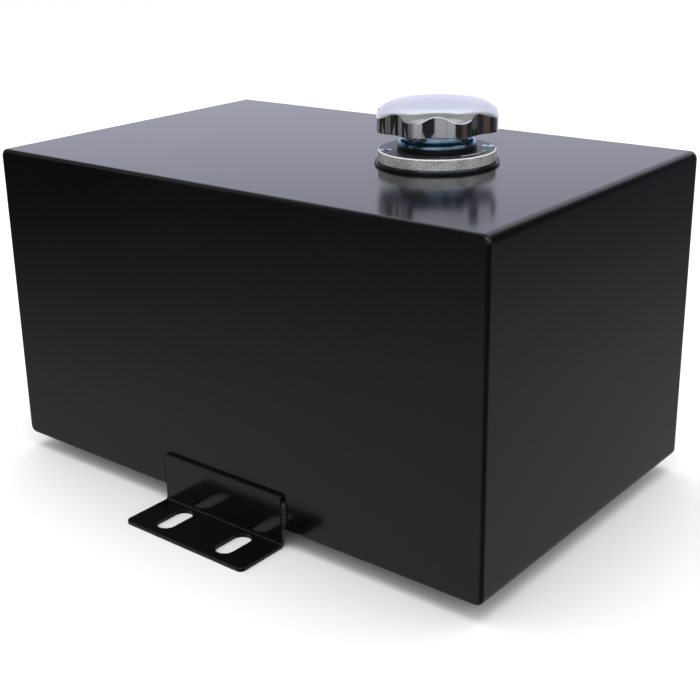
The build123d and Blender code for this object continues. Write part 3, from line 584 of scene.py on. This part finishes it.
SCREWS = 4
SCREW_HEAD_RADIUS = 4.25
SCREW_HEAD_RISE = 0.55
SCREW_CROSS_ARM = 2.3
SCREW_CROSS_HALF = 0.55
SCREW_CROSS_DEPTH = 1.5
SCREW_RECESS_FLOOR = ((0.4, 1.0), (0.78, 0.9))  # shares of the cross's width and of its depth
SCREW_RECESS_EDGE = ((0.97, 0.15), (1.0, 0.03))  # share of the width, depth below the head
SCREW_PIT = 1.1  # depth of the recess at its middle, as a share of the cross's depth
SCREW_HEAD_SHARES = (0.03, 0.3, 0.6, 0.85, 0.97, 1.0)  # rows from the recess to the head's edge
SCREW_HEAD_EDGE = 0.15  # upright edge of the head
SCREW_THREAD = (2.3, 0.22, 0.8)  # mean radius, half depth, pitch
SCREW_THREAD_ROWS = 96
SCREW_RUN_OUT = 0.6  # plain shank left at both ends of the thread
SCREW_TIP_TAPER = 0.5
SCREW_LENGTH = 20.0
SCREW_SPIN = (0.35, 0.9)  # where the first screw stopped, and how much further each next one did


def cross_edge(angle):
    """Distance from a screw's axis to the edge of its cross recess."""
    quarter = math.pi / 2
    away = abs((angle + quarter / 2) % quarter - quarter / 2)
    if math.tan(away) <= SCREW_CROSS_HALF / SCREW_CROSS_ARM:
        return SCREW_CROSS_ARM / math.cos(away)
    return SCREW_CROSS_HALF / math.sin(away)


def head_height(radius):
    """Height of a screw's oval head above the flange."""
    return SCREW_HEAD_RISE * (1 - (radius / SCREW_HEAD_RADIUS) ** 2)


def screw_column(angle):
    """Radius and height along a screw from the bottom of its recess round its head to its tip."""
    edge = cross_edge(angle)
    column = [(edge * width, -SCREW_CROSS_DEPTH * deep) for width, deep in SCREW_RECESS_FLOOR]
    column += [(edge * width, head_height(edge) - deep) for width, deep in SCREW_RECESS_EDGE]
    for share in SCREW_HEAD_SHARES:
        radius = edge + (SCREW_HEAD_RADIUS - edge) * share
        column.append((radius, head_height(radius)))
    column.append((SCREW_HEAD_RADIUS, -SCREW_HEAD_EDGE))
    mean, half_depth, pitch = SCREW_THREAD
    neck = mean - SCREW_HEAD_RADIUS - SCREW_HEAD_EDGE
    column += [(mean, neck), (mean, neck - SCREW_RUN_OUT / 2)]
    for height in steps(neck - SCREW_RUN_OUT, -SCREW_LENGTH + SCREW_RUN_OUT, SCREW_THREAD_ROWS):
        wave = math.cos(math.tau * (height / pitch) - angle)
        column.append((mean + half_depth * wave, height))
    column.append((mean - SCREW_TIP_TAPER, -SCREW_LENGTH))
    return column


def make_screws():
    """The screws that hold the flange, one piece of four."""
    low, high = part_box("flange_screws")
    circle = ((high.x - low.x) / 2 / MM - SCREW_HEAD_RADIUS) * math.sqrt(2) * MM
    corner = math.atan2(SCREW_CROSS_HALF, SCREW_CROSS_ARM)
    half_arm = [0, corner / 2, corner, (corner + math.pi / 4) / 2, math.pi / 4]
    angles = []
    for arm in range(4):
        middle = arm * math.pi / 2
        angles += [middle - a for a in half_arm[3:0:-1]] + [middle + a for a in half_arm]
    surface = Surface()
    for i in range(SCREWS):
        place = math.pi / 4 + i * math.tau / SCREWS
        axis = NECK + outward(place) * circle
        spin = SCREW_SPIN[0] + SCREW_SPIN[1] * i
        columns = []
        for angle in angles:
            out = outward(angle + spin)
            column = screw_column(angle)
            columns.append([axis + (out * radius + UP * height) * MM for radius, height in column])
        rows = [list(row) for row in zip(*columns)]
        pit = axis - UP * SCREW_CROSS_DEPTH * SCREW_PIT * MM
        tip = axis - UP * SCREW_LENGTH * MM
        surface.rows([[pit], *rows, [tip]])
    return make_piece("neck_screws", surface.points, surface.faces, "zinc_plate")


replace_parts(make_screws(), "flange_screws")


# turn arrow cast on the flange, lengths in mm and angles in degrees about the filler axis

ARROW_RADIUS = 34.2
ARROW_HALF_WIDTH = 0.8
ARROW_HEAD_HALF_WIDTH = 2.3
ARROW_ANGLES = (-27.0, 11.0, 20.0)  # tail, start of the head, tip
ARROW_HEIGHT = 0.4
ARROW_BURY = 0.2
ARROW_SLOPE = 0.15
ARROW_TIP_HALF_WIDTH = 0.1


def make_arrow():
    """Raised arrow that shows which way the cap turns."""
    tail, neck, tip = ARROW_ANGLES
    stations = [(angle, ARROW_HALF_WIDTH) for angle in steps(tail, neck, 20)]
    for t in steps(0, 1, 6):
        half_width = max(ARROW_HEAD_HALF_WIDTH * (1 - t), ARROW_TIP_HALF_WIDTH)
        stations.append((neck + (tip - neck) * t, half_width))
    bars = []
    for angle, half_width in stations:
        out = outward(math.radians(angle))
        slope = min(ARROW_SLOPE, half_width / 2)
        section = []
        for across, height in (
            (-half_width, -ARROW_BURY),
            (-half_width, ARROW_HEIGHT - slope),
            (-half_width + slope, ARROW_HEIGHT),
            (half_width - slope, ARROW_HEIGHT),
            (half_width, ARROW_HEIGHT - slope),
            (half_width, -ARROW_BURY),
        ):
            section.append(NECK + (out * (ARROW_RADIUS + across) + UP * height) * MM)
        bars.append(section)
    surface = Surface()
    surface.rows(bars)
    surface.caps(len(bars), len(bars[0]))
    return make_piece("turn_arrow", surface.points, surface.faces, "die_cast")


make_arrow()


# lock spring: ground closed coils at both ends, lengths in mm.

SPRING_WIRE = 0.7  # radius of the wire
SPRING_COIL_GAP = 0.03
SPRING_CLOSED_TURNS = 0.75
SPRING_TURNS = 5
SPRING_STEPS_PER_TURN = 40
SPRING_WIRE_POINTS = 12


def make_spring():
    """Coil spring between the washer on the stud and the floor of the lock cup."""
    low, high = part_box("lock_spring")
    length = (high.z - low.z) / MM
    radius = (high.x - low.x) / 2 / MM - SPRING_WIRE
    count = SPRING_TURNS * SPRING_STEPS_PER_TURN
    closed_pitch = 2 * SPRING_WIRE + SPRING_COIL_GAP
    open_pitch = (length - closed_pitch) / (SPRING_TURNS - 2 * SPRING_CLOSED_TURNS)
    heights = [0.0]
    for i in range(count):
        turn = (i + 0.5) / SPRING_STEPS_PER_TURN
        from_end = min(turn, SPRING_TURNS - turn) - SPRING_CLOSED_TURNS
        share = min(1, max(0, from_end + 0.5))
        pitch = closed_pitch + (open_pitch - closed_pitch) * share
        heights.append(heights[-1] + pitch / SPRING_STEPS_PER_TURN)
    stretch = (length - 2 * SPRING_WIRE) / heights[-1]
    axis = Vector((NECK.x, NECK.y, low.z))
    rows = []
    for i, height in enumerate(heights):
        angle = math.tau * i / SPRING_STEPS_PER_TURN
        out = outward(angle)
        middle = axis + (out * radius + UP * (SPRING_WIRE + height * stretch)) * MM
        row = []
        for k in range(SPRING_WIRE_POINTS):
            turn = math.tau * k / SPRING_WIRE_POINTS
            row.append(middle + (out * math.cos(turn) + UP * math.sin(turn)) * SPRING_WIRE * MM)
        rows.append(row)
    surface = Surface()
    surface.rows(rows)
    surface.caps(len(rows), SPRING_WIRE_POINTS)
    spring = make_piece("wound_spring", surface.points, surface.faces, "spring_steel", "cap")
    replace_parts(spring, "lock_spring")
    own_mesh(spring)


make_spring()


# threaded bungs on the rear face, with the rounded thread of parallel pipe fittings, in mm

BUNGS = (  # CAD node, mount that gives the minor radius, pitch, depth of thread
    ("suction_bung", "suction_port", 2.309, 1.479),
    ("return_bung", "return_port", 1.814, 1.162),
)
BUNG_COLUMNS = 96
ROWS_PER_TURN = 8
BUNG_CHAMFER = 0.8
BORE_CHAMFER = 0.3


def make_bung(node, mount, pitch, depth):
    """A turned steel boss with an internal pipe thread through it."""
    low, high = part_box(node)
    outer = (high.x - low.x) / 2 / MM
    length = (high.y - low.y) / MM
    minor = next(m["dims"]["r_mm"] for m in frame["record"]["mounts"] if m["name"] == mount)
    axis = Vector(((low.x + high.x) / 2, low.y, (low.z + high.z) / 2))
    turns = length / pitch
    columns = []
    for i in range(BUNG_COLUMNS):
        angle = math.tau * i / BUNG_COLUMNS
        column = [(outer - BUNG_CHAMFER, 0), (outer, BUNG_CHAMFER), (outer, length - BUNG_CHAMFER)]
        column += [(outer - BUNG_CHAMFER, length), (minor + depth + BORE_CHAMFER, length)]
        for share in steps(1, 0, int(turns * ROWS_PER_TURN)):
            wave = 0.5 + 0.5 * math.cos(math.tau * share * turns - angle)
            mouth = min(1, min(share, 1 - share) * turns)
            column.append((minor + depth * (1 - mouth * (1 - wave)), length * share))
        column.append((minor + depth + BORE_CHAMFER, 0))
        out = Vector((math.cos(angle), 0, math.sin(angle)))
        along = Vector((0, 1, 0))
        columns.append([axis + (out * radius + along * height) * MM for radius, height in column])
    surface = Surface()
    surface.rows([list(row) for row in zip(*columns)], closed_rows=True)
    return make_piece(node.replace("bung", "port"), surface.points, surface.faces, "bare_steel")


for bung in BUNGS:
    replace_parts(make_bung(*bung), bung[0])


# weld beads with their ripples, in mm

RIPPLE = 1.5
STEPS_PER_RIPPLE = 5
BEAD_POINTS = 7
BEAD_BURY = 0.3
BUNG_BEAD_LEG = 3.9
DRAIN_BEAD_LEG = 2.3
BRACKET_BEAD_LEG = 2.9
BRACKET_BEAD_ROWS = 66
BEAD_END = 2.5  # length over which a bead tapers at its ends
BEAD_END_SHARE = 0.15  # share of the section that is left at the very end
RIPPLE_HEIGHT = 0.09  # the ripples, the hand's wander and the hollows are shares of the leg
WANDER_HEIGHT = 0.04
WANDER_RATE = 1.7
BEAD_HOLLOW = 0.22


def bead_section(leg, run, corner, out, away):
    """Section of a fillet bead in the corner between a wall and a plate that stands on it.
    out runs along the wall and away runs along the plate; run is the length laid so far."""
    ripple = RIPPLE_HEIGHT * math.cos(math.tau * run / RIPPLE)
    crown = 1.0 + ripple + WANDER_HEIGHT * math.sin(WANDER_RATE * run)
    section = [corner - (out + away) * BEAD_BURY * MM]
    for turn in steps(0, math.pi / 2, BEAD_POINTS):
        bulge = 1 - BEAD_HOLLOW + BEAD_HOLLOW * abs(math.cos(2 * turn))
        reach = leg * crown * bulge * MM
        section.append(corner + (out * math.cos(turn) + away * math.sin(turn)) * reach)
    return section


def bead_ring(surface, centre, radius, axis, leg):
    """Bead round a boss of a radius that stands up from a wall along axis."""
    side = UP if abs(axis.z) < 0.5 else Vector((1, 0, 0))
    other = axis.cross(side)
    count = int(math.tau * radius / RIPPLE) * STEPS_PER_RIPPLE
    rows = []
    for i in range(count):
        angle = math.tau * i / count
        out = side * math.cos(angle) + other * math.sin(angle)
        run = RIPPLE * i / STEPS_PER_RIPPLE
        rows.append(bead_section(leg, run, centre + out * radius * MM, out, axis))
    surface.rows(rows, closed_rows=True)


def make_bung_beads():
    """Beads round both rear bungs and round the drain bung, one piece of three."""
    surface = Surface()
    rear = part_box("rear_plate")[1].y
    for node in ("suction_bung", "return_bung"):
        low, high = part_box(node)
        centre = Vector(((low.x + high.x) / 2, rear, (low.z + high.z) / 2))
        bead_ring(surface, centre, (high.x - low.x) / 2 / MM, Vector((0, 1, 0)), BUNG_BEAD_LEG)
    low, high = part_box("drain_bung")
    centre = Vector(((low.x + high.x) / 2, (low.y + high.y) / 2, shell_low.z))
    bead_ring(surface, centre, (high.x - low.x) / 2 / MM, -UP, DRAIN_BEAD_LEG)
    return make_piece("bung_beads", surface.points, surface.faces, "black_coat")


def make_bracket_beads(name, node, bracket, side):
    """Upright beads at both ends of a foot bracket, one piece of two."""
    low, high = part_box(bracket)
    weld_low, weld_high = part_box(node)
    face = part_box("front_plate" if side < 0 else "rear_plate")
    wall = face[0].y if side < 0 else face[1].y
    length = (weld_high.z - weld_low.z) / MM
    surface = Surface()
    for end, x in ((-1, low.x), (1, high.x)):
        rows = []
        for run in steps(0, length, BRACKET_BEAD_ROWS):
            to_end = min(run, length - run) / BEAD_END
            leg = BRACKET_BEAD_LEG * math.sqrt(min(1, BEAD_END_SHARE + (1 - BEAD_END_SHARE) * to_end))
            corner = Vector((x, wall, weld_low.z + run * MM))
            rows.append(bead_section(leg, run, corner, Vector((end, 0, 0)), Vector((0, side, 0))))
        surface.rows(rows)
        surface.caps(len(rows), len(rows[0]))
    return make_piece(name, surface.points, surface.faces, "black_coat")


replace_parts(make_bung_beads(), "bung_welds")
for side, where in ((-1, "front"), (1, "rear")):
    welds = where + "_bracket_welds"
    beads = make_bracket_beads(where + "_bracket_beads", welds, where + "_bracket", side)
    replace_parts(beads, welds)


# ---------------------------------------------------------------------------
# Floor and light
# ---------------------------------------------------------------------------

# Soft panels of the studio that shiny surfaces mirror. Each has its middle azimuth and half
# width, its lowest and highest elevation, its soft edges in azimuth and in elevation, all in
# degrees, and its colour. Azimuth 0 is in front of the tank, towards -Y, and 90 towards +X.
PANELS = (
    ("cyclorama", 216, 44, -14, 20, 12, 5, (0.735, 0.73, 0.89)),
    ("upper_cyclorama", 216, 44, 20, 66, 12, 5, (0.73, 0.745, 0.92)),
    ("horizon", 208, 50, -12, 18, 10, 10, (0.1, 0.105, 0.14)),
    ("ceiling", 35, 75, 56, 78, 10, 8, (0.3, 0.3, 0.32)),
    ("window", 60, 66, 6, 50, 6, 4, (0.84, 0.81, 0.95)),
    ("lamp", 40, 34, 40, 51, 8, 3, (2.1, 2.1, 2.1)),
    ("low_window", 20, 23, -12, 3, 6, 2, (0.42, 0.41, 0.45)),
    ("low_middle_card", -11, 8, -12, 3, 3, 2, (0.2, 0.19, 0.22)),
    ("low_narrow_card", -27, 4, -12, 3, 4, 2, (0.16, 0.15, 0.15)),
    ("low_wood_panel", 93, 13, -12, 3, 4, 2, (0.07, 0.043, 0.034)),
    ("low_right_card", 148, 8, -12, 3, 4, 2, (0.05, 0.055, 0.075)),
    ("left_card", -50, 6, 4, 34, 5, 4, (0.6, 0.55, 0.56)),
    ("far_left_card", -87, 9, 4, 34, 5, 5, (0.4, 0.4, 0.46)),
    ("table_left", -42, 26, -70, -18, 6, 6, (0.3, 0.3, 0.3)),
    ("table_right", 150, 26, -70, -16, 7, 7, (0.21, 0.21, 0.22)),
)
# brightness of the rest of the studio by elevation: dark walls and a grey ceiling
WALLS = (
    (-90, 0.3),
    (-30, 0.12),
    (-12, 0.022),
    (18, 0.03),
    (40, 0.2),
    (58, 0.4),
    (75, 0.35),
    (90, 0.35),
)
FLOOR_HALF = 12.0
FLOOR_FADE = (0.7, 3.0)  # distances from the origin where the floor starts and ends to whiten


def make_floor():
    """Wide pale floor that shiny surfaces don't mirror."""
    half = FLOOR_HALF
    corners = [(-half, -half, 0), (half, -half, 0), (half, half, 0), (-half, half, 0)]
    mesh = bpy.data.meshes.new("floor")
    mesh.from_pydata(corners, [], [(0, 1, 2, 3)])
    material, g, shader = new_material("floor", Roughness=0.9)
    place = g.place()
    grain = g.noise(place, 3, 2)
    near = g.blend(grain, (0.93, 0.93, 0.93), (0.96, 0.96, 0.96))
    # far from the softbox the floor has to be paler to run into the white surroundings
    far = g.span(g.vector_math("LENGTH", place), *FLOOR_FADE)
    g.put(shader["Base Color"], g.blend(far, near, (1.0, 1.0, 1.0)))
    mesh.materials.append(material)
    floor = bpy.data.objects.new("floor", mesh)
    floor.visible_glossy = False
    bpy.context.scene.collection.objects.link(floor)


def make_world():
    """White surroundings, which shiny surfaces see as a studio of soft panels and dark walls."""
    world = bpy.data.worlds.new("studio")
    world.use_nodes = True
    g = Graph(world.node_tree)
    x, y, z = g.split(g.node("ShaderNodeTexCoord").outputs["Generated"])
    elevation = g.math("DEGREES", g.math("ARCSINE", z))
    walls = [((height + 90) / 180, (light, light, light)) for height, light in WALLS]
    studio = g.ramp(g.math("MULTIPLY_ADD", elevation, 1 / 180, 0.5), walls)
    for _, azimuth, half_width, low, high, soft_side, soft_end, colour in PANELS:
        turn = math.radians(azimuth)
        sine, cosine = math.sin(turn), math.cos(turn)
        ahead = g.math("SUBTRACT", g.math("MULTIPLY", x, sine), g.math("MULTIPLY", y, cosine))
        aside = g.math("ADD", g.math("MULTIPLY", x, cosine), g.math("MULTIPLY", y, sine))
        offset = g.math("ABSOLUTE", g.math("DEGREES", g.math("ARCTAN2", aside, ahead)))
        across = g.span(offset, half_width - soft_side, half_width + soft_side, 1.0, 0.0)
        above = g.span(elevation, low - soft_end, low + soft_end)
        below = g.span(elevation, high - soft_end, high + soft_end, 1.0, 0.0)
        inside = g.math("MULTIPLY", across, g.math("MULTIPLY", above, below))
        studio = g.add_colour(inside, studio, colour)
    mirrored = g.node("ShaderNodeLightPath").outputs["Is Glossy Ray"]
    background = world.node_tree.nodes["Background"]
    g.put(background.inputs["Color"], g.blend(mirrored, (1.0, 1.0, 1.0), studio))
    bpy.context.scene.world = world


def make_softbox(name, azimuth, elevation, distance, size, radiance):
    """Square light that faces the tank and isn't mirrored. Azimuth 0 is in front, towards -Y."""
    a, e = math.radians(azimuth), math.radians(elevation)
    back = Vector((math.sin(a) * math.cos(e), -math.cos(a) * math.cos(e), math.sin(e)))
    data = bpy.data.lights.new(name, "AREA")
    data.size = size
    data.energy = radiance * math.pi * size * size
    light = bpy.data.objects.new(name, data)
    light.location = TANK_CENTRE + back * distance
    light.rotation_euler = back.to_track_quat("Z", "Y").to_euler()
    light.visible_camera = False
    light.visible_glossy = False
    bpy.context.scene.collection.objects.link(light)


make_floor()
make_world()
make_softbox("overhead_softbox", azimuth=0, elevation=88, distance=2.2, size=2.4, radiance=1.8)

bpy.context.scene.view_settings.view_transform = "Standard"
